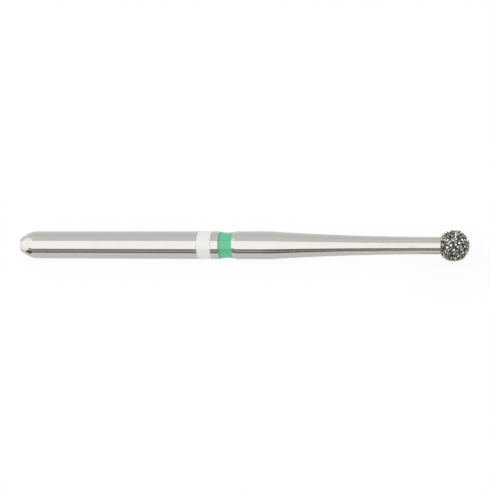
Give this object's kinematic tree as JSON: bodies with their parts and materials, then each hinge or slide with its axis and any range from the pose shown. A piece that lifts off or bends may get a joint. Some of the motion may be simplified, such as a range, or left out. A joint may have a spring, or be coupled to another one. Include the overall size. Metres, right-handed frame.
{
  "type": "dental bur",
  "caption": "Straight friction-grip shank with two coloured ring marks, a long hollow taper and a ball head coated in coarse diamond grit.",
  "frame": {"origin": "centre of the flat rear face of the shank", "axes": "+X along the bur's axis towards the head; the bur is round, so +Y and +Z are free"},
  "size_m": [0.0262, 0.0018, 0.0018],
  "materials": {
    "shank_steel": "satin",
    "nickel": "satin",
    "diamond": "gloss",
    "green_enamel": "satin",
    "white_enamel": "satin"
  },
  "bodies": {
    "root": {"steel_blank": "shank_steel", "nickel_bond": "nickel", "diamond_grit": "diamond", "green_ring": "green_enamel", "white_ring": "white_enamel"}
  },
  "joints": []
}
